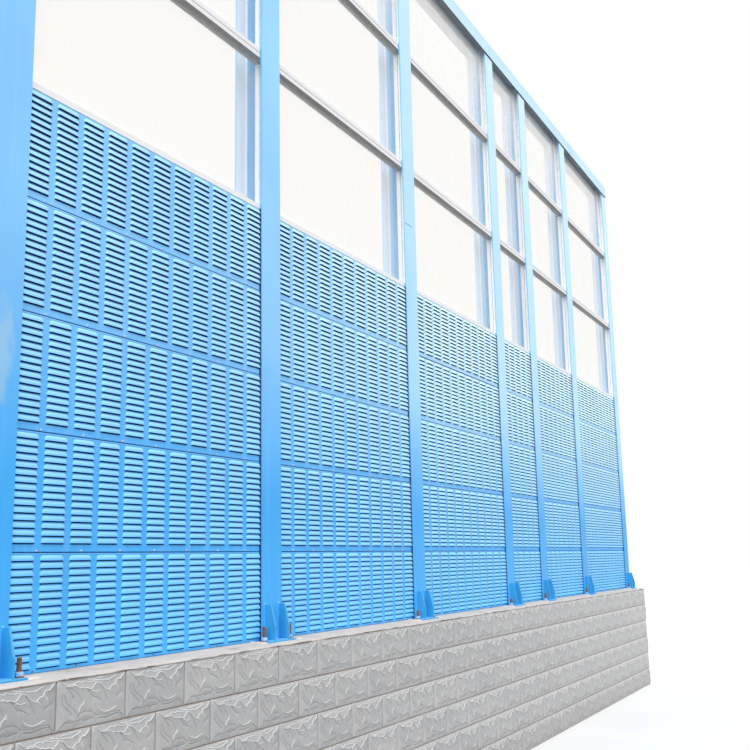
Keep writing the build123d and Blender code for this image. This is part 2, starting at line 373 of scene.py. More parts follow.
def moulded_tile(name):
    """Matt grey cast stone: fine grain, ridges paled by wear and a painted highlight, furrows darkened as
    painted shade, each tile its own tone, paler along the wall as painted haze.
    """
    finish, tree, surface = new_finish(name)
    own = add_node(tree, "ShaderNodeNewGeometry").outputs["Random Per Island"]
    cloud = patchy(tree, 5.0, (0.35, 0.68), detail=6.0)
    tone = over(tree, cloud, opaque(colours().tile), (0.43, 0.425, 0.42))
    tone = dimmed(tree, tone, mapped(tree, own, 0.0, 1.0, 0.95, 1.05))
    tone = dimmed(tree, tone, patchy(tree, 210.0, (0.35, 0.7, 0.9, 1.08), detail=3.0))
    run = patchy(tree, 60.0, (0.45, 0.75, 0.0, 0.3), stretch=(1.0, 1.0, 0.08), detail=3.0)
    tone = over(tree, run, tone, (0.5, 0.5, 0.51))
    wear = add_node(tree, "ShaderNodeAttribute", attribute_name="wear").outputs["Fac"]
    uneven = patchy(tree, 38.0, (0.3, 0.6, 0.45, 1.0), detail=3.0)
    # Ridges paler, as wear and a painted highlight; furrows darker, as painted shade.
    for least, most, colour in ((0.1, 1.0, (0.74, 0.735, 0.73)), (-0.1, -1.0, (0.29, 0.29, 0.295))):
        worn_and_lit = maths(tree, "MULTIPLY", mapped(tree, wear, least, most), uneven)
        tone = over(tree, worn_and_lit, tone, colour)
    along, _, height = parts_of(tree, coordinates(tree))
    # Paler along the wall: painted haze.
    tone = over(tree, mapped(tree, along, -5.3, 5.5, 0.0, 0.62), tone, (0.6, 0.6, 0.6))
    tone = over(tree, mapped(tree, height, 0.0, 0.3, 0.3, 0.0), tone, (0.30, 0.29, 0.27))
    coarse = bumped(tree, noise_at(tree, 55.0, detail=6.0, roughness=0.65), 0.35, 0.003)
    fine = bumped(tree, noise_at(tree, 300.0, detail=3.0), 0.4, 0.001, coarse)
    feed(surface, {"Base Color": tone, "Roughness": 0.88, "Specular IOR Level": 0.2, "Normal": fine})
    return finish


def rough_mortar(name, base, damp, damp_share):
    """Trowelled mortar with grains, hair cracks and brown damp patches."""
    finish, tree, surface = new_finish(name)
    tone = over(tree, patchy(tree, 5.0, (0.4, 0.7), detail=7.0), opaque(base), scaled(base, 0.86))
    patches = patchy(tree, 3.2, (0.56, 0.72, 0.0, damp_share), stretch=(1.4, 3.0, 6.0), detail=8.0,
                     roughness=0.7, shift=5.0)
    tone = over(tree, patches, tone, damp)
    tone = over(tree, patchy(tree, 120.0, (0.7, 0.78, 0.0, 0.5), detail=2.0), tone, scaled(damp, 0.4))
    coarse = bumped(tree, noise_at(tree, 30.0, detail=8.0, roughness=0.7), 0.6, 0.006)
    fine = bumped(tree, noise_at(tree, 400.0, detail=2.0), 0.4, 0.0008, coarse)
    feed(surface, {"Base Color": tone, "Roughness": 0.92, "Specular IOR Level": 0.15, "Normal": fine})
    return finish


def brushed_frame(name):
    """White-silver drawn aluminium with faint lines, greyer where it looks to the road, and darker where it
    looks down as painted shade.
    """
    finish, tree, surface = new_finish(name)
    lines = noise_at(tree, 40.0, (0.3, 8.0, 0.3), 3.0)
    silver = colours().aluminium
    tone = over(tree, mapped(tree, lines, 0.35, 0.65), opaque(silver), scaled(silver, 0.96))
    grime_and_shade = patchy(tree, 4.0, (0.6, 0.9, 0.0, 0.15), stretch=(1, 1, 0.3), detail=6.0)
    tone = over(tree, grime_and_shade, tone, (0.5, 0.49, 0.46))
    _, outward, upward = facing(tree)
    tone = over(tree, mapped(tree, outward, -0.5, -0.9, 0.0, 0.8), tone, (0.73, 0.73, 0.75))
    # Faces that look down are darkened: painted shade.
    tone = over(tree, mapped(tree, upward, -0.2, -0.8, 0.0, 0.6), tone, (0.22, 0.21, 0.2))
    feed(surface, {"Base Color": tone, "Roughness": mapped(tree, lines, 0.3, 0.7, 0.38, 0.5),
                   "Normal": bumped(tree, lines, 0.08, 0.001)})
    return finish


def clear_pane(name):
    """Clear sheet under a pale film, partly dust with dried rain marks and partly a painted reflection of the
    sky, thicker just below the rail.
    """
    finish, tree, surface = new_finish(name)
    marks = noise_at(tree, 5.0, (1, 1, 0.25), 3.0)
    height = parts_of(tree, coordinates(tree))[2]
    # The pale film stands partly for dust and partly for a painted reflection of the sky.
    clear = maths(tree, "MULTIPLY", mapped(tree, marks, 0.3, 0.7, 0.89, 0.83),
                  mapped(tree, height, 5.6, 6.3, 1.0, 0.76))
    feed(surface, {"Base Color": opaque(colours().pane), "Transmission Weight": clear, "IOR": 1.45,
                   "Roughness": mapped(tree, marks, 0.45, 0.8, 0.0, 0.05)})
    lit = any_ray(tree, "Is Shadow Ray", "Is Diffuse Ray")
    through = add_node(tree, "ShaderNodeBsdfTransparent").outputs[0]
    both = add_node(tree, "ShaderNodeMixShader", {0: lit, 1: surface.outputs[0], 2: through}).outputs[0]
    feed(tree.nodes["Material Output"], {"Surface": both})
    return finish


def rubber(name, base):
    """Matt rubber with a dusty bloom."""
    finish, tree, surface = new_finish(name)
    bloom = patchy(tree, 30.0, (0.3, 0.7), detail=5.0)
    feed(surface, {"Base Color": over(tree, bloom, opaque(base), scaled(base, 1.7)), "Roughness": 0.7})
    return finish


def rusted_steel(name, base, bright):
    """Rust in two browns with pits."""
    finish, tree, surface = new_finish(name)
    rust = patchy(tree, 90.0, (0.35, 0.68), detail=7.0, roughness=0.7)
    feed(surface, {"Base Color": over(tree, rust, opaque(base), bright), "Roughness": 0.85, "Metallic": 0.1,
                   "Normal": bumped(tree, noise_at(tree, 260.0, detail=4.0), 0.6, 0.001)})
    return finish


FINISHES = {}


def recipes():
    """What makes each finish, and that function's values."""
    c = colours()
    return {
        "sheet_paint": (painted_steel, {"tones": (c.sheet_low, c.sheet_middle, c.sheet_high), "wave": 0.12,
                                        "streaks": 0.2, "sides": 0.5}),
        # The louvres' paler tones are a painted sheen of sky light on the hoods.
        "louvre_paint": (painted_steel, {"tones": (c.louvre_sheen_low, c.louvre_sheen_middle, c.louvre_sheen_high),
                                         "rises": LOUVRE_GLARE_RISES, "wave": 0.0, "streaks": 0.0}),
        "upright_paint": (painted_steel, {"tones": (c.post_low, c.post_middle, c.post_high), "sides": 0.45,
                                          "pocket_shade": 0.85, "glare_behind_glass": 0.75, "scuff": SCUFF}),
        # The feet's darker blue is painted shade.
        "foot_paint": (painted_steel, {"tones": (c.foot, c.foot)}),
        "rail_paint": (painted_steel, {"tones": (c.post_low, c.post_middle, c.rail), "sides": 0.75,
                                       "grime_and_shade": 0.95, "glare_behind_glass": 1.0}),
        "slot_dark": (slot_dark, {}),
        "moulded_tile": (moulded_tile, {}),
        "tile_grout": (rough_mortar, {"base": c.grout, "damp": (0.12, 0.09, 0.07), "damp_share": 0.5}),
        "coping_mortar": (rough_mortar, {"base": c.mortar, "damp": (0.34, 0.22, 0.14), "damp_share": 0.55}),
        "joint_filler": (rough_mortar, {"base": (0.62, 0.58, 0.54), "damp": (0.3, 0.24, 0.2),
                                        "damp_share": 0.7}),
        "wall_render": (rough_mortar, {"base": (0.4, 0.39, 0.37), "damp": (0.25, 0.23, 0.2),
                                       "damp_share": 0.4}),
        # Painted shade where the mortar bed meets the tiles.
        "damp_crack": (rubber, {"base": (0.075, 0.05, 0.035)}),
        "brushed_aluminium": (brushed_frame, {}),
        "pane_sheet": (clear_pane, {}),
        "gasket_rubber": (rubber, {"base": c.gasket}),
        # Dark of the painted shadow strips beside the posts and under the rail, and of the scratch on the
        # third post
        "seal_rubber": (rubber, {"base": (0.006, 0.02, 0.06)}),
        "seam_shade": (rubber, {"base": (0.2, 0.19, 0.2)}),
        "rod_rust": (rusted_steel, {"base": c.rust, "bright": (0.33, 0.14, 0.055)}),
        "nut_zinc": (rusted_steel, {"base": (0.12, 0.42, 0.72), "bright": (0.55, 0.66, 0.74)}),
        "rivet_head": (rusted_steel, {"base": (0.75, 0.55, 0.45), "bright": (0.85, 0.72, 0.62)}),
    }


def finish_named(name):
    """The material of that name, made the first time it is asked for."""
    if name not in FINISHES:
        maker, values = recipes()[name]
        FINISHES[name] = maker(name, **values)
    return FINISHES[name]


# Meshes

def placed(name, data):
    """A new object of the scene that shows the data."""
    piece = bpy.data.objects.new(name, data)
    bpy.context.scene.collection.objects.link(piece)
    return piece


def circle(sides, turn=0.0):
    """Cosine and sine at even steps of a full turn."""
    angles = [turn + 2 * math.pi * k / sides for k in range(sides)]
    return [(math.cos(a), math.sin(a)) for a in angles]


def ring_faces(rings, sides):
    """Faces of a tube between its rings of points."""
    return [(i * sides + k, i * sides + (k + 1) % sides, (i + 1) * sides + (k + 1) % sides,
             (i + 1) * sides + k) for i in range(rings - 1) for k in range(sides)]


def ring_caps(rings, sides):
    """Faces that close the first and the last ring of a tube."""
    return [tuple(reversed(range(sides))), tuple(range((rings - 1) * sides, rings * sides))]


def grid_faces(rows, columns):
    """Faces of a sheet between its rows of points."""
    return [(a, a + 1, a + columns + 1, a + columns)
            for row in range(rows - 1) for a in range(row * columns, (row + 1) * columns - 1)]


def flipped(faces, shift=0):
    """The faces turned over, each from the same first point, with their points counted on by a shift."""
    return [tuple(i + shift for i in (face[0], *face[:0:-1])) for face in faces]


class MeshBuilder:
    """Collects points and faces of one piece, then makes its object."""

    def __init__(self):
        self.points, self.faces, self.marks, self.wear, self.count = [], [], [], [], 0

    def add(self, points, faces, mark=0, wear=None):
        points = np.asarray(points, dtype=float)
        self.points.append(points)
        self.wear.append(np.zeros(len(points)) if wear is None else wear)
        self.faces += [[i + self.count for i in face] for face in faces]
        self.marks += [mark] * len(faces)
        self.count += len(points)

    def add_copies(self, points, faces, marks, places):
        """The same faces again at every place."""
        points, places = np.asarray(points, dtype=float), np.asarray(places, dtype=float)
        start, across = self.count, len(points)
        self.add((points[None, :, :] + places[:, None, :]).reshape(-1, 3), [])
        for n in range(len(places)):
            self.faces += [[i + start + n * across for i in face] for face in faces]
            self.marks += marks

    def prism(self, outline, start, end, mark=0):
        """An outline of (y, z) points carried along X."""
        n = len(outline)
        points = [(x, y, z) for x in (start, end) for y, z in outline]
        self.add(points, ring_faces(2, n) + ring_caps(2, n), mark)

    def block(self, low, high, mark=0):
        (x0, y0, z0), (x1, y1, z1) = low, high
        self.prism([(y0, z0), (y1, z0), (y1, z1), (y0, z1)], x0, x1, mark)

    def turned(self, profile, centre, sides, mark=0, turn=0.0):
        """An upright round or many-sided piece from (radius, height) points."""
        x, y, z = centre
        points = [(x + r * c, y + r * s, z + h) for r, h in profile for c, s in circle(sides, turn)]
        self.add(points, ring_faces(len(profile), sides) + ring_caps(len(profile), sides), mark)

    def make(self, name, finishes, slot, smooth=False, crease=0.6):
        mesh = bpy.data.meshes.new(name)
        mesh.from_pydata(np.concatenate(self.points).tolist(), [], self.faces)
        for finish in finishes:
            mesh.materials.append(finish_named(finish))
        mesh.polygons.foreach_set("material_index", self.marks)
        mesh.polygons.foreach_set("use_smooth", [smooth] * len(self.faces))
        wear = np.concatenate(self.wear)
        if wear.any():
            mesh.attributes.new("wear", "FLOAT", "POINT").data.foreach_set("value", wear)
        mesh.update()
        if smooth:
            mesh.set_sharp_from_angle(angle=crease)
        piece = placed(name, mesh)
        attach(piece, "root")
        return piece


# Louvred panels

SHEET, SLOT, HOOD = range(3)
PANEL_GAP, FRONT_FOLD, BACK_FOLD = 0.0003, 0.004, 0.003
# Half heights of the painted shade in a panel joint, and in the one joint that stands open
JOINT_HALF_GAP, OPEN_HALF_GAP = 0.0020, 0.0046
# Bay, and panel joint from below, that stands open
OPEN_JOINT = (3, 4)
LIP_HEIGHT, LIP_DEPTH = 0.0042, 0.0012
# A hood's height, inset at each end and share of the depth, row by row from its lip
HOOD_ROWS = [(0.0035, 0.0, 1.0), (0.010, 0.0008, 0.95), (0.0158, 0.0030, 0.76), (0.0205, 0.0066, 0.43),
             (0.0246, 0.0125, 0.0)]
# Shares of a hood's length, and of its depth there
HOOD_COLUMNS = [(0.0, 0.0), (0.025, 0.68), (0.075, 1.0), (0.925, 1.0), (0.975, 0.68), (1.0, 0.0)]
MOUTH_EDGE, MOUTH_LOW, MOUTH_HIGH = 0.004, -0.0022, 0.0046
# A rivet head's radius and depth from the sheet, ring by ring
RIVET_RINGS = [(0.0042, 0.0), (0.0040, -0.0012), (0.0026, -0.0021), (0.0008, -0.0024)]
RIVET_SIDES, RIVET_HEIGHT = 10, 0.0095
# Painted shadow strips beside the flanges: reach past a flange's edge, lap behind it, and depth in front of
# the sheet
SHADOW_STRIP_PROUD, SHADOW_STRIP_LAP, SHADOW_STRIP_DEPTH = 0.0055, 0.008, 0.0085


def hood_template(size):
    """One pressed louvre with its lip below, and the hood's underside and a dark sheet in its mouth, both in
    painted shade.
    """
    points = [(inset + share * (size - 2 * inset), -HOOD_DEPTH * depth * swell, height)
              for height, inset, depth in HOOD_ROWS for share, swell in HOOD_COLUMNS]
    faces = grid_faces(len(HOOD_ROWS), len(HOOD_COLUMNS))
    marks = [HOOD] * len(faces)
    back = len(points)
    points += [(share * size, -0.0003, 0.0045) for share, _ in HOOD_COLUMNS]
    faces += [(back + n, back + n + 1, n + 1, n) for n in range(len(HOOD_COLUMNS) - 1)]
    low = len(points)
    left, right = MOUTH_EDGE, size - MOUTH_EDGE
    points += [(x, -0.0005, z) for x, z in ((left, MOUTH_LOW), (right, MOUTH_LOW), (right, MOUTH_HIGH),
                                            (left, MOUTH_HIGH))]
    faces.append((low, low + 1, low + 2, low + 3))
    return points, faces, marks + [SLOT] * (len(faces) - len(marks))


def panel_levels():
    """Foot and head of the panels in a bay, from the lowest."""
    pitch = sizes().panel_pitch
    count = round((PANEL_TOP - PLATE_TOP) / pitch)
    first = PANEL_TOP - count * pitch
    return [(first + n * pitch, first + (n + 1) * pitch) for n in range(count)]


def louvred_bay(bay):
    """The panels of a bay with folded edges, the joints between them and every louvre."""
    low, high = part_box(f"louvred_panels_{bay}")
    s = sizes()
    front, back = SHEET_FRONT, SHEET_BACK
    builder = MeshBuilder()
    for foot, head in panel_levels():
        z0, z1 = max(foot, PLATE_TOP) + PANEL_GAP, head - PANEL_GAP
        builder.prism([(front, z0 + FRONT_FOLD), (front + FRONT_FOLD, z0), (back - BACK_FOLD, z0),
                       (back, z0 + BACK_FOLD), (back, z1 - BACK_FOLD), (back - BACK_FOLD, z1),
                       (front + FRONT_FOLD, z1), (front, z1 - FRONT_FOLD)], low.x, high.x, SHEET)
    for number, (foot, _) in enumerate(panel_levels()[1:], 1):
        gap = OPEN_HALF_GAP if (bay, number) == OPEN_JOINT else JOINT_HALF_GAP
        lip = foot - gap
        # A dark strip in each joint is painted shade, wider where the joint stands open.
        builder.block((low.x, front - 0.0003, lip), (high.x, front + 0.004, foot + gap), SLOT)
        builder.block((low.x, front - LIP_DEPTH, lip - LIP_HEIGHT), (high.x, front + 0.001, lip), HOOD)
    clear = POST_X[bay] - POST_X[bay - 1] - 2 * HALF_FLANGE
    columns = round((clear + s.louvre_spacing - s.louvre_length) / s.louvre_spacing)
    pattern = (columns - 1) * s.louvre_spacing + s.louvre_length
    start = POST_X[bay - 1] + HALF_FLANGE + (clear - pattern) / 2
    places = [(start + c * s.louvre_spacing, front, foot + s.first_louvre + r * s.louvre_pitch)
              for foot, _ in panel_levels() for r in range(s.louvre_rows) for c in range(columns)]
    builder.add_copies(*hood_template(s.louvre_length), places)
    piece = builder.make(f"louvred_bay_{bay}", ["sheet_paint", "slot_dark", "louvre_paint"], "panel_paint",
                         smooth=True, crease=0.7)
    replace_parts(piece, f"louvred_panels_{bay}")


def rivets(bay):
    """Rivet heads along the foot of each panel, rusty on the lowest, a little off their line."""
    spacing = sizes().rivet_spacing
    pick = random.Random(40 + bay)
    builder = MeshBuilder()
    rings = len(RIVET_RINGS)
    faces = ring_faces(rings, RIVET_SIDES) + ring_caps(rings, RIVET_SIDES)[1:]
    for level, (foot, _) in enumerate(panel_levels()):
        for n in range(1, round((POST_X[bay] - POST_X[bay - 1]) / spacing)):
            x = POST_X[bay - 1] + n * spacing + pick.uniform(-0.008, 0.008)
            z = max(foot, PLATE_TOP) + RIVET_HEIGHT + pick.uniform(-0.0015, 0.0015)
            points = [(x + r * c, SHEET_FRONT + depth, z + r * s)
                      for r, depth in RIVET_RINGS for c, s in circle(RIVET_SIDES)]
            builder.add(points, faces, 0 if level else 1)
    builder.make(f"rivets_bay_{bay}", ["rivet_head", "rod_rust"], "panel_paint", smooth=True)


def panel_shadow_strips(bay):
    """Dark lips in the gap between the panels and the backs of the flanges: a painted shadow of the flanges
    on the panels.
    """
    front, flange_back = SHEET_FRONT - SHADOW_STRIP_DEPTH, POST_LOW.y + 0.0121
    builder = MeshBuilder()
    for post_x, way in ((POST_X[bay - 1], 1), (POST_X[bay], -1)):
        edge = post_x + way * HALF_FLANGE
        for near, far, y in ((0.0002, SHADOW_STRIP_PROUD, front), (-SHADOW_STRIP_LAP, 0.0002, flange_back)):
            x0, x1 = sorted((edge + way * near, edge + way * far))
            builder.block((x0, y, PLATE_TOP + 0.0005), (x1, SHEET_FRONT - 0.0001, PANEL_TOP))
    builder.make(f"panel_shadow_strips_{bay}", ["seal_rubber"], "panel_paint")


class BARRIER_OT_louvred_panels(bpy.types.Operator):
    """Build each bay's stack of louvred panels, with every louvre, and their rivets and the dark strips of
    painted shadow beside the posts
    """
    bl_idname = "barrier.louvred_panels"
    bl_label = "Louvred panels"

    def execute(self, context):
        for bay in BAYS:
            louvred_bay(bay)
            rivets(bay)
            panel_shadow_strips(bay)
        return {"FINISHED"}


# Tiled wall

# Lines of the moulding as (share along, share up) of a tile: where the upper and the lower bevel end,
# worn ridges, and furrows.
UPPER_BEVEL = [(0.0, 1.0), (0.05, 0.96), (0.085, 0.91), (0.125, 0.855), (0.19, 0.845), (0.235, 0.858),
               (0.265, 0.838), (0.30, 0.788), (0.33, 0.80), (0.36, 0.77), (0.405, 0.775), (0.465, 0.735),
               (0.49, 0.76), (0.525, 0.83), (0.545, 0.86), (0.595, 0.832), (0.627, 0.787), (0.665, 0.72),
               (0.725, 0.66), (0.763, 0.715), (0.785, 0.745), (0.815, 0.742), (0.834, 0.805), (0.85, 0.85),
               (0.905, 0.856), (0.94, 0.917), (0.975, 0.97)]
LOWER_BEVEL = [(0.02, 0.02), (0.045, 0.065), (0.09, 0.145), (0.16, 0.178), (0.233, 0.15), (0.272, 0.203),
               (0.33, 0.28), (0.382, 0.30), (0.472, 0.288), (0.511, 0.249), (0.54, 0.20), (0.60, 0.185),
               (0.68, 0.172), (0.72, 0.155), (0.757, 0.18), (0.82, 0.19), (0.893, 0.188), (0.945, 0.10),
               (0.98, 0.02)]
RIDGES = [
    UPPER_BEVEL,
    [(0.15, 0.875), (0.213, 0.878), (0.265, 0.916), (0.304, 0.913), (0.33, 0.885), (0.356, 0.924),
     (0.40, 0.896), (0.466, 0.874), (0.50, 0.893), (0.53, 0.868)],
    [(0.459, 0.93), (0.537, 0.902), (0.627, 0.877), (0.718, 0.862), (0.783, 0.904), (0.85, 0.955)],
    [(0.576, 0.94), (0.68, 0.95), (0.78, 0.965), (0.86, 0.985)],
    [(0.485, 0.70), (0.537, 0.66), (0.576, 0.68)],
    [(0.848, 0.745), (0.88, 0.667)],
    [(0.757, 0.655), (0.783, 0.605)],
    [(0.576, 0.345), (0.614, 0.275), (0.68, 0.222), (0.731, 0.225), (0.783, 0.25), (0.834, 0.283)],
    [(0.343, 0.453), (0.304, 0.39), (0.298, 0.33)],
]
FURROWS = [
    LOWER_BEVEL,
    [(0.233, 0.13), (0.291, 0.132), (0.356, 0.15), (0.395, 0.114), (0.459, 0.14), (0.511, 0.14)],
    [(0.602, 0.12), (0.68, 0.10), (0.744, 0.107), (0.809, 0.125), (0.86, 0.14), (0.912, 0.14)],
    [(0.563, 0.285), (0.585, 0.24), (0.61, 0.215)],
    [(0.125, 0.825), (0.168, 0.735), (0.226, 0.63)],
    [(0.155, 0.82), (0.213, 0.778), (0.265, 0.713), (0.31, 0.62), (0.33, 0.55)],
    [(0.09, 0.70), (0.116, 0.584), (0.149, 0.495), (0.213, 0.412), (0.246, 0.35), (0.265, 0.30)],
    [(0.058, 0.688), (0.071, 0.52), (0.097, 0.46), (0.149, 0.384), (0.20, 0.287)],
    [(0.453, 0.66), (0.498, 0.572), (0.55, 0.55), (0.62, 0.485)],
    [(0.60, 0.80), (0.653, 0.69), (0.68, 0.593), (0.705, 0.49)],
    [(0.86, 0.508), (0.918, 0.57)],
    [(0.09, 0.10), (0.13, 0.15), (0.19, 0.13)],
]
BEVEL_RISE, LINE_HALF_WIDTH, RIDGE_RISE, FURROW_DROP = 0.0065, 0.0034, 0.0024, 0.0018
# From the middle of the wall to the edges of the tiles' faces
TILE_REACH = 0.2435
TILE_RIM_DROP = 0.0045
FIRST_TILE_JOINT = -5.0281
SMALLEST_CUT = 0.012
# The joint filler's foot, head and distance behind the wall's face
FILLER = ((0.0, 0.6, 0.0045), (0.6, 1.0, 0.0035), (1.0, WALL_TOP - 0.001, 0.0022))


def distance_to(path, points):
    """Distance from each point to a line of straight runs."""
    best = np.full(len(points), np.inf)
    for start, end in zip(path[:-1], path[1:]):
        run = end - start
        share = np.clip(((points - start) @ run) / (run @ run), 0, 1)
        best = np.minimum(best, np.linalg.norm(points - start - share[:, None] * run, axis=1))
    return best


def moulding(points, size):
    """Height over the tile's edge, and wear and light from -1 in a furrow to 1 on a ridge, at flat points."""
    share = points / size
    upper = np.interp(share[:, 0], *zip(*UPPER_BEVEL))
    lower = np.interp(share[:, 0], *zip(*LOWER_BEVEL))
    inside = np.stack([np.ones(len(points)), (1 - share[:, 1]) / (1.001 - upper),
                       share[:, 1] / (lower + 0.001), share[:, 0] / 0.05, (1 - share[:, 0]) / 0.05])
    height = BEVEL_RISE * np.clip(inside.min(axis=0), 0, 1)
    height += 0.0004 * np.sin(31 * share[:, 0] + 4 * share[:, 1]) * np.sin(17 * share[:, 1])
    ridge, furrow = (
        np.max([np.clip(1 - distance_to(np.array(path) * size, points) / LINE_HALF_WIDTH, 0, 1)
                for path in lines], axis=0)
        for lines in (RIDGES, FURROWS))
    return height + RIDGE_RISE * ridge - FURROW_DROP * furrow, ridge - furrow


def offset_line(path, offset):
    """The line moved sideways, with each corner along its mean direction."""
    along = np.gradient(path, axis=0)
    along /= np.linalg.norm(along, axis=1)[:, None]
    return path + offset * np.stack([-along[:, 1], along[:, 0]], axis=1)


TILES_MADE = {}


def tile_template(start, end):
    """Flat points, triangles, heights, and wear and light, of a tile, whole or cut between two shares."""
    key = (round(start, 3), round(end, 3))
    if key in TILES_MADE:
        return TILES_MADE[key]
    s = sizes()
    size = np.array([s.tile_length, s.tile_height])
    low, high = np.array([start * size[0], 0.0]), np.array([end * size[0], size[1]])
    points, edges = [], []

    def add_line(path, closed=False):
        first, count = len(points), len(path)
        points.extend(Vector(p) for p in path)
        edges.extend((first + n, first + (n + 1) % count) for n in range(count if closed else count - 1))

    for rim in (0.0, 0.0014):
        a, b = low + rim, high - rim
        across, up = np.linspace(a[0], b[0], 10), np.linspace(a[1], b[1], 6)
        path = [(x, a[1]) for x in across[:-1]] + [(b[0], z) for z in up[:-1]]
        path += [(x, b[1]) for x in across[:0:-1]] + [(a[0], z) for z in up[:0:-1]]
        add_line(path, closed=True)
    margin = 0.003
    for path in RIDGES + FURROWS:
        for offset in (-LINE_HALF_WIDTH, 0.0, LINE_HALF_WIDTH):
            line = offset_line(np.array(path) * size, offset)
            held = ((line > low + margin) & (line < high - margin)).all(axis=1)
            for kept, run in groupby(zip(held, line), key=lambda pair: pair[0]):
                if kept:
                    add_line([point for _, point in run])
    for x in np.arange(low[0] + 0.02, high[0] - 0.01, 0.034):
        points.extend(Vector((x, z)) for z in np.arange(0.02, high[1] - 0.01, 0.031))
    flat, _, triangles, *_ = delaunay_2d_cdt(points, edges, [], 0, 1e-5)
    flat = np.array([tuple(p) for p in flat])
    height, wear = moulding(flat, size)
    rim = ((flat < low + 1e-4) | (flat > high - 1e-4)).any(axis=1)
    height[rim] = -TILE_RIM_DROP
    wear[rim] = 0
    TILES_MADE[key] = flat, [list(f) for f in triangles], height, wear
    return TILES_MADE[key]


def add_tile(builder, x, z, start, end, side):
    """One tile whose lower left corner is at x, z, on the wall's road side or back."""
    flat, triangles, height, wear = tile_template(start, end)
    points = np.stack([x + flat[:, 0], side * (TILE_REACH + height), z + flat[:, 1]], axis=1)
    faces = triangles if side == ROAD_SIDE else [face[::-1] for face in triangles]
    builder.add(points, faces, wear=wear)


def tiled_length(name, node, start, end):
    """The tiles, core and rendered end of one length of wall, in running bond."""
    s = sizes()
    pitch, rise = s.tile_length + s.tile_joint, s.tile_height + s.tile_joint
    for side, label in ((ROAD_SIDE, "road"), (BACK_SIDE, "back")):
        builder = MeshBuilder()
        bottom, course = WALL_TOP - 0.001 - s.tile_height, 0
        while bottom > -0.001:
            offset = FIRST_TILE_JOINT - (pitch / 2 if course % 2 else 0.0)
            left = offset + math.floor((start - offset) / pitch) * pitch + s.tile_joint / 2
            while left < end:
                x0, x1 = max(left, start), min(left + s.tile_length, end)
                if x1 - x0 > SMALLEST_CUT:
                    add_tile(builder, left, max(bottom, 0.0), (x0 - left) / s.tile_length,
                             (x1 - left) / s.tile_length, side)
                left += pitch
            bottom -= rise
            course += 1
        builder.make(f"{name}_tiles_{label}", ["moulded_tile"], "tiled_stone", smooth=True, crease=0.5)
    core = MeshBuilder()
    face = -WALL_FRONT - 0.0105
    core.block((start, -face, 0.0), (end, face, WALL_TOP - 0.002))
    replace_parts(core.make(f"{name}_core", ["tile_grout"], "tiled_stone"), node)
    render = MeshBuilder()
    for x, way in ((start, -1), (end, 1)):
        if x in (WALL_START, WALL_END):
            x0, x1 = sorted((x, x + way * 0.0005))
            render.block((x0, WALL_FRONT + 0.010, 0.0), (x1, -WALL_FRONT - 0.010, WALL_TOP - 0.001))
    render.make(f"{name}_end_render", ["wall_render"], "tiled_stone")


class BARRIER_OT_tiled_wall(bpy.types.Operator):
    """Face the base wall with moulded tiles in running bond, cut at the movement joint and the ends"""
    bl_idname = "barrier.tiled_wall"
    bl_label = "Tiled wall"

    def execute(self, context):
        tiled_length("wall_left", "base_wall_left", WALL_START, JOINT_LEFT)
        tiled_length("wall_right", "base_wall_right", JOINT_RIGHT, WALL_END)
        filler = MeshBuilder()
        for z0, z1, back in FILLER:
            filler.block((JOINT_LEFT, WALL_FRONT + back, z0), (JOINT_RIGHT, -WALL_FRONT - back, z1))
        filler.make("movement_joint_filler", ["joint_filler"], "mortar")
        return {"FINISHED"}


# Mortar coping

CREST, LIP, BED_FLOOR = PLATE_TOP, WALL_TOP + 0.006, WALL_TOP - 0.0015
PLATE_EDGE = HALF_PLATE + 0.001
# The bed between two posts, from the road side to the back: y, height and unevenness
BED_SECTION = [(-PLATE_EDGE, LIP + 0.005, 0.001), (-0.14, CREST - 0.0045, 0.0011),
               (-0.1, CREST - 0.0008, 0.0006), (-0.083, CREST - 0.0002, 0.0), (0.02, CREST - 0.0002, 0.0),
               (0.1, CREST - 0.003, 0.0008), (PLATE_EDGE, LIP + 0.005, 0.001)]
# Way along the wall from the post, and where the mortar over its plate begins
LAPS = ((1, 0.141), (-1, 0.168))
LAP_INNER_Y, LAP_PAST_X, LAP_PAST_Y, LAP_RISE = 0.086, 0.035, 0.012, 0.0062


def wobble(x, seed, step, height):
    """A smooth uneven line along the wall, from seeded random heights."""
    pick = np.random.RandomState(seed)
    knots = np.arange(-6.0, 6.0 + step, step)
    return np.interp(x, knots, pick.uniform(-height, height, len(knots)))


def coping_strip(builder, xs, rows):
    """A bed of mortar under rows of (y, height) along the wall, down to the wall's top."""
    floor = [(y, BED_FLOOR) for y in (rows[-1][0], rows[0][0])]
    rings = [np.broadcast_arrays(xs, y, z) for y, z in rows + floor]
    points = np.array(rings).transpose(2, 0, 1).reshape(-1, 3)
    size = len(xs), len(rings)
    builder.add(points, flipped(ring_faces(*size)) + [cap[::-1] for cap in ring_caps(*size)])


def bed_margins(builder):
    """The thin mortar outside the base plates, with a chipped outer line."""
    xs = np.arange(WALL_START, WALL_END + 0.001, 0.0125)
    for side, seed in ((ROAD_SIDE, 3), (BACK_SIDE, 11)):
        chips = np.minimum(wobble(xs, seed, 0.06, 0.004) + wobble(xs, seed + 1, 0.35, 0.004), 0.002)
        drop = wobble(xs, seed + 2, 0.05, 0.0012)
        rows = [(side * (-WALL_FRONT + 0.0005 + chips), LIP - 0.0035 + drop),
                (side * 0.232, LIP + 0.001 + drop),
                (side * 0.205, LIP + 0.003 + wobble(xs, seed + 3, 0.1, 0.0012)),
                (side * PLATE_EDGE, LIP + 0.005 + wobble(xs, seed + 4, 0.12, 0.001))]
        coping_strip(builder, xs, rows if side == ROAD_SIDE else rows[::-1])


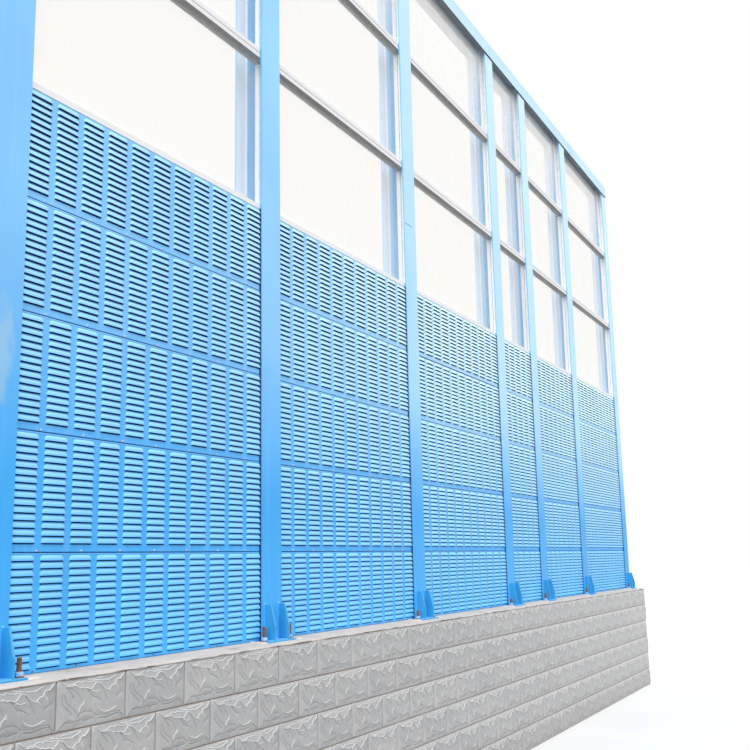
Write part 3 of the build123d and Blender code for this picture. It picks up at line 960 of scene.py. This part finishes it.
def bed_crests(builder):
    """The high mortar between one base plate and the next."""
    starts = [WALL_START] + [x + PLATE_EDGE for x in POST_X]
    ends = [x - PLATE_EDGE for x in POST_X] + [WALL_END]
    for start, end in zip(starts, ends):
        xs = np.linspace(start, end, max(4, round((end - start) / 0.02)))
        coping_strip(builder, xs, [(y, height + wobble(xs, 20 + n, 0.07, uneven))
                                   for n, (y, height, uneven) in enumerate(BED_SECTION)])


def mortar_lap(builder, post_x, way, near, side, seed):
    """Mortar smeared a little way over one end of a base plate, from near to past its edge."""
    pick = np.random.RandomState(seed)
    share_x, share_y = np.linspace(0, 1, 7), np.linspace(0, 1, 8)
    inner = near + pick.uniform(-0.008, 0.008, len(share_y))
    y = side * (LAP_INNER_Y + share_y * (HALF_PLATE + LAP_PAST_Y - LAP_INNER_Y))
    top = []
    for share in share_x:
        x = post_x + way * (inner + share * (HALF_PLATE + LAP_PAST_X - inner))
        crown = LAP_RISE * np.sin(np.pi * (0.12 + 0.88 * share)) ** 0.7
        z = PLATE_TOP - 0.0012 + crown * (1 - 0.8 * share_y ** 6) + pick.uniform(-0.0004, 0.0004, len(y))
        z = np.where((share == 1) | (share_y == 1), PLATE_TOP - 0.012, z)
        top.append(np.stack([x, y, z], axis=1))
    top = np.concatenate(top)
    under = top * (1, 1, 0) + (0, 0, PLATE_TOP - 0.0145)
    count = len(top)
    faces = grid_faces(len(share_x), len(share_y))
    faces += flipped(faces, count)
    grid = np.arange(count).reshape(len(share_x), len(share_y))
    rim = np.concatenate([grid[0], grid[1:, -1], grid[-1, -2::-1], grid[-2:0:-1, 0]]).tolist()
    faces += [(b, a, a + count, b + count) for a, b in zip(rim, rim[1:] + rim[:1])]
    if way * side > 0:
        faces = [face[::-1] for face in faces]
    builder.add(np.concatenate([top, under]), faces)


def bed_shade_line(builder):
    """The broken dark line between the bed and the tiles: painted shade where they meet."""
    xs = np.arange(WALL_START, WALL_END, 0.01)
    for side in (ROAD_SIDE, BACK_SIDE):
        y = side * (-WALL_FRONT + 0.0024)
        middle = WALL_TOP + 0.0008 + wobble(xs, 81 + side, 0.13, 0.0012)
        half = np.clip(0.0006 + wobble(xs, 84 + side, 0.08, 0.0019), 0.0, 0.002)
        face = (0, 1, 2, 3) if side == ROAD_SIDE else (3, 2, 1, 0)
        for n in range(len(xs) - 1):
            if min(half[n], half[n + 1]) > 0.0002:
                corners = ((n, -1), (n + 1, -1), (n + 1, 1), (n, 1))
                builder.add([(xs[k], y, middle[k] + way * half[k]) for k, way in corners], [face], 1)


class BARRIER_OT_mortar_coping(bpy.types.Operator):
    """Lay the uneven mortar bed on the wall, with its chipped road edge"""
    bl_idname = "barrier.mortar_coping"
    bl_label = "Mortar coping"

    def execute(self, context):
        builder = MeshBuilder()
        bed_margins(builder)
        bed_crests(builder)
        for number, post_x in enumerate(POST_X):
            for way, near in LAPS:
                for side in (ROAD_SIDE, BACK_SIDE):
                    mortar_lap(builder, post_x, way, near, side, 60 + 4 * number + way + side)
        bed_shade_line(builder)
        piece = builder.make("mortar_bed", ["coping_mortar", "damp_crack"], "mortar", smooth=True, crease=0.8)
        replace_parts(piece, "mortar_coping")
        return {"FINISHED"}


# Post feet

ROD, NUT, WASHER = range(3)
# Turned profiles as (radius, height)
WASHER_PROFILE = [(0.0195, 0.0), (0.0195, 0.0035), (0.0185, 0.004)]
NUT_PROFILE = [(0.0150, 0.0), (0.0173, 0.002), (0.0173, 0.017), (0.0148, 0.0190)]
ROD_RADIUS, ROD_END_RADIUS = 0.0106, 0.009
THREAD_START, THREAD_STEP, THREAD_DEPTH = 0.02, 0.002, 0.0012
ANCHOR_X, ANCHOR_Y = 0.130, 0.135
GUSSET_X, GUSSET_HALF, GUSSET_TOP, GUSSET_REACH = 0.07, 0.006, 0.195, 0.166
BEAD_STEP, BEAD_SIDES = 0.006, 6
SCRATCH_Z, SCRATCH_LENGTH, SCRATCH_WIDTH = 4.212, 0.14, 0.004


def anchor(builder, x, y, pick):
    """A washer, a nut and the threaded rod that stands out of it."""
    builder.turned(WASHER_PROFILE, (x, y, PLATE_TOP), 20, WASHER)
    builder.turned(NUT_PROFILE, (x, y, PLATE_TOP + 0.004), 6, NUT, math.radians(15))
    height = sizes().rod_height + pick.uniform(-0.012, 0.012)
    thread = [(ROD_RADIUS - (THREAD_DEPTH if k % 2 else 0.0), THREAD_START + k * THREAD_STEP)
              for k in range(int((height - THREAD_START) / THREAD_STEP))]
    builder.turned([(ROD_RADIUS, 0.0)] + thread + [(ROD_END_RADIUS, height)], (x, y, PLATE_TOP), 14, ROD)


def weld_bead(builder, start, end, radius, pick):
    """A lumpy run of weld between two points."""
    start, along = Vector(start), Vector(end) - Vector(start)
    steps = max(3, int(along.length / BEAD_STEP))
    turn = along.to_track_quat("Z", "Y").to_matrix()
    points = []
    for n in range(steps + 1):
        size = radius * (0.82 + 0.3 * (n % 2)) * (0.35 if n in (0, steps) else 1.0) * pick.uniform(0.9, 1.1)
        centre = start + along * (n / steps)
        points += [tuple(centre + turn @ Vector((size * c, size * s, 0))) for c, s in circle(BEAD_SIDES)]
    builder.add(points, ring_faces(steps + 1, BEAD_SIDES) + ring_caps(steps + 1, BEAD_SIDES))


def weld_runs(post_x, side):
    """Start, end and radius of each weld on one side of a post's foot."""
    y, foot, head = side * POST_HIGH.y, PLATE_TOP, PLATE_TOP + GUSSET_TOP
    runs = []
    for gusset in (post_x - GUSSET_X, post_x + GUSSET_X):
        for x in (gusset - GUSSET_HALF, gusset + GUSSET_HALF):
            runs += [((x, y, foot + 0.004), (x, y, head - 0.002), 0.0042),
                     ((x, y + side * 0.004, foot), (x, side * GUSSET_REACH, foot), 0.0042)]
        tip = y + side * 0.001
        runs.append(((gusset - 0.009, tip, head), (gusset + 0.009, tip, head), 0.0062))
    runs.append(((post_x - HALF_FLANGE, y, foot), (post_x + HALF_FLANGE, y, foot), 0.0045))
    return runs


def post_marks():
    """The scratch on the third post, and the shaded line under the rail on every post."""
    builder = MeshBuilder()
    left = POST_X[2] - HALF_FLANGE
    builder.block((left, POST_LOW.y - 0.0004, SCRATCH_Z),
                  (left + SCRATCH_LENGTH, POST_LOW.y, SCRATCH_Z + SCRATCH_WIDTH))
    for post_x in POST_X:
        for y0, y1 in ((POST_LOW.y - 0.0008, POST_LOW.y), (POST_HIGH.y, POST_HIGH.y + 0.0008)):
            builder.block((post_x - HALF_FLANGE, y0, RAIL_SKIRT - 0.006),
                          (post_x + HALF_FLANGE, y1, RAIL_SKIRT + 0.002))
    builder.make("post_marks", ["seal_rubber"], "post_paint")


class BARRIER_OT_post_feet(bpy.types.Operator):
    """Add the anchor rods, nuts and washers, the welds of every post foot, and the marks on the posts"""
    bl_idname = "barrier.post_feet"
    bl_label = "Post feet"

    def execute(self, context):
        for number, post_x in zip(POSTS, POST_X):
            pick = random.Random(number)
            bolts, welds = MeshBuilder(), MeshBuilder()
            for side in (ROAD_SIDE, BACK_SIDE):
                for across in (-ANCHOR_X, ANCHOR_X):
                    anchor(bolts, post_x + across, side * ANCHOR_Y, pick)
                for run in weld_runs(post_x, side):
                    weld_bead(welds, *run, pick)
            bolts.make(f"anchors_{number}", ["rod_rust", "nut_zinc", "rod_rust"], "post_paint", smooth=True,
                       crease=0.7)
            welds.make(f"welds_{number}", ["upright_paint"], "post_paint", smooth=True)
        post_marks()
        return {"FINISHED"}


# Glazing

GASKET_WIDTH, GASKET_PROUD, SEAM_HALF = 0.0028, 0.002, 0.0022


def frame_boxes(bay):
    """Low and high corner of the frames in a bay's stack, from the lowest."""
    low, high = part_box(f"glazing_frames_{bay}")
    height = (high.z - low.z) / 3
    return [((low.x, low.y, low.z + n * height), (high.x, high.y, low.z + (n + 1) * height))
            for n in range(3)]


class BARRIER_OT_gaskets(bpy.types.Operator):
    """Run a rubber gasket round both faces of every pane, and a seam between stacked frames"""
    bl_idname = "barrier.gaskets"
    bl_label = "Gaskets"

    def execute(self, context):
        front, back = (corner.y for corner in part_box("panes_1"))
        sides = ((front - GASKET_PROUD, front - 0.0001), (back + 0.0001, back + GASKET_PROUD))
        for bay in BAYS:
            builder = MeshBuilder()
            for (x0, _, z0), (x1, _, z1) in frame_boxes(bay):
                left, right, foot, head = x0 + FRAME_FACE, x1 - FRAME_FACE, z0 + FRAME_FACE, z1 - FRAME_FACE
                inner_left, inner_right = left + GASKET_WIDTH, right - GASKET_WIDTH
                for y0, y1 in sides:
                    builder.block((left, y0, foot), (inner_left, y1, head))
                    builder.block((inner_right, y0, foot), (right, y1, head))
                    builder.block((inner_left, y0, foot), (inner_right, y1, foot + GASKET_WIDTH))
                    builder.block((inner_left, y0, head - GASKET_WIDTH), (inner_right, y1, head))
            for (x0, y0, z0), (x1, _, _) in frame_boxes(bay)[1:]:
                builder.block((x0, y0 - 0.0004, z0 - SEAM_HALF), (x1, y0 + 0.001, z0 + SEAM_HALF), 1)
            builder.make(f"gaskets_bay_{bay}", ["gasket_rubber", "seam_shade"], "frame_aluminium")
        return {"FINISHED"}


# Pieces of the frame that are shown as they are

CARRIED_FINISHES = {"post": "upright_paint", "post_foot": "foot_paint", "top_rail": "rail_paint",
                    "glazing_frames": "brushed_aluminium", "panes": "pane_sheet",
                    "grout_pads": "coping_mortar"}


class BARRIER_OT_carried_over(bpy.types.Operator):
    """Give the posts, feet, rail, frames, panes and grout pads of the frame their finishes"""
    bl_idname = "barrier.carried_over"
    bl_label = "Carried-over pieces"

    def execute(self, context):
        for node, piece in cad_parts.items():
            kind = node.rstrip("_0123456789")
            if kind in CARRIED_FINISHES:
                for slot in piece.material_slots:
                    slot.material = finish_named(CARRIED_FINISHES[kind])
        return {"FINISHED"}


# Stage

SEEN_RAYS = ("Is Camera Ray", "Is Glossy Ray", "Is Transmission Ray")
FLOOR_REACH = 90.0
# Name, strength, spread in degrees and direction of the lamps
LAMPS = (("soft_sun", 1.85, 60, (0.35, 0.95, -1.0)), ("side_fill", 2.3, 50, (1.0, 0.08, -0.14)))
LAMP_COLOUR = (1.0, 0.985, 0.96)
CAMERA_PLACE = (-8.1042, -3.2326, 1.6401)
# Yaw from +Y towards +X, pitch up, and roll, in degrees
CAMERA_ANGLES = (63.155, 10.466, -1.203)
FOCAL_PIXELS, PHOTO_PIXELS, SENSOR_WIDTH = 1003.05, 750, 36.0


def pale_floor():
    """A floor that takes the object's shadow and lights it little from below."""
    pale, tree, surface = new_finish("pale_floor")
    tone = over(tree, patchy(tree, 0.8, (0.3, 0.7), detail=5.0), opaque((0.8, 0.8, 0.8)), (0.83, 0.83, 0.83))
    tone = mixed(tree, any_ray(tree, *SEEN_RAYS), opaque((0.2, 0.2, 0.2)), tone)
    feed(surface, {"Base Color": tone, "Roughness": 0.9, "Specular IOR Level": 0.1})
    mesh = bpy.data.meshes.new("floor")
    corners = [(x * FLOOR_REACH, y * FLOOR_REACH, 0) for x, y in ((-1, -1), (1, -1), (1, 1), (-1, 1))]
    mesh.from_pydata(corners, [], [(0, 1, 2, 3)])
    mesh.materials.append(pale)
    floor = placed("floor", mesh)
    floor.location.z = -0.001


def lamp(name, energy, spread, direction):
    """A broad soft lamp that shines along a direction."""
    light = bpy.data.lights.new(name, "SUN")
    light.energy, light.angle, light.color = energy, math.radians(spread), LAMP_COLOUR
    piece = placed(name, light)
    piece.rotation_mode = "QUATERNION"
    piece.rotation_quaternion = Vector(direction).to_track_quat("-Z", "Y")


def white_sky():
    """A world that looks white and gives soft, faintly blue light."""
    world = bpy.data.worlds.new("white_sky")
    world.use_nodes = True
    tree = world.node_tree
    tree.nodes.clear()
    sky = add_node(tree, "ShaderNodeBackground", {"Color": (0.93, 0.96, 1.0, 1.0), "Strength": 0.95})
    white = add_node(tree, "ShaderNodeBackground", {"Color": (1.0, 1.0, 1.0, 1.0), "Strength": 1.0})
    seen = any_ray(tree, *SEEN_RAYS)
    both = add_node(tree, "ShaderNodeMixShader", {0: seen, 1: sky.outputs[0], 2: white.outputs[0]})
    add_node(tree, "ShaderNodeOutputWorld", {"Surface": both.outputs[0]})
    bpy.context.scene.world = world


def photo_camera():
    """The camera at the photograph's place and viewing angle."""
    yaw, pitch, roll = (math.radians(angle) for angle in CAMERA_ANGLES)
    ahead = Vector((math.sin(yaw) * math.cos(pitch), math.cos(yaw) * math.cos(pitch), math.sin(pitch)))
    level = Vector((math.cos(yaw), -math.sin(yaw), 0.0))
    upright = level.cross(ahead)
    right = math.cos(roll) * level + math.sin(roll) * upright
    up = -math.sin(roll) * level + math.cos(roll) * upright
    optics = bpy.data.cameras.new("camera")
    optics.sensor_width = SENSOR_WIDTH
    optics.lens = FOCAL_PIXELS / PHOTO_PIXELS * SENSOR_WIDTH
    optics.clip_end = 300.0
    camera = placed("camera", optics)
    turn = Matrix((right, up, -ahead)).transposed().to_4x4()
    camera.matrix_world = Matrix.Translation(CAMERA_PLACE) @ turn
    bpy.context.scene.camera = camera


class BARRIER_OT_stage(bpy.types.Operator):
    """Make the pale floor, the soft lights, the white background and the camera"""
    bl_idname = "barrier.stage"
    bl_label = "Stage"

    def execute(self, context):
        pale_floor()
        for values in LAMPS:
            lamp(*values)
        white_sky()
        photo_camera()
        context.scene.view_settings.view_transform = "Standard"
        return {"FINISHED"}


class BARRIER_PT_panel(bpy.types.Panel):
    """The barrier's pieces, with their sizes and colours"""
    bl_idname = "BARRIER_PT_panel"
    bl_label = "Noise barrier"
    bl_space_type = "VIEW_3D"
    bl_region_type = "UI"
    bl_category = "Barrier"

    def draw(self, context):
        for step in STEPS:
            self.layout.operator(step.bl_idname)
        for group in (sizes(), colours()):
            box = self.layout.box()
            for name in group.__annotations__:
                box.prop(group, name)


STEPS = (BARRIER_OT_stage, BARRIER_OT_carried_over, BARRIER_OT_tiled_wall, BARRIER_OT_mortar_coping,
         BARRIER_OT_louvred_panels, BARRIER_OT_post_feet, BARRIER_OT_gaskets)
CLASSES = (BarrierSizes, BarrierColours, *STEPS, BARRIER_PT_panel)


def register():
    for one in CLASSES:
        bpy.utils.register_class(one)
    bpy.types.Scene.barrier_sizes = bpy.props.PointerProperty(type=BarrierSizes)
    bpy.types.Scene.barrier_colours = bpy.props.PointerProperty(type=BarrierColours)


def unregister():
    del bpy.types.Scene.barrier_colours
    del bpy.types.Scene.barrier_sizes
    for one in reversed(CLASSES):
        bpy.utils.unregister_class(one)


def main():
    register()
    bpy.ops.barrier.stage()
    bpy.ops.barrier.carried_over()
    bpy.ops.barrier.tiled_wall()
    bpy.ops.barrier.mortar_coping()
    bpy.ops.barrier.louvred_panels()
    bpy.ops.barrier.post_feet()
    bpy.ops.barrier.gaskets()


if __name__ == "__main__":
    main()
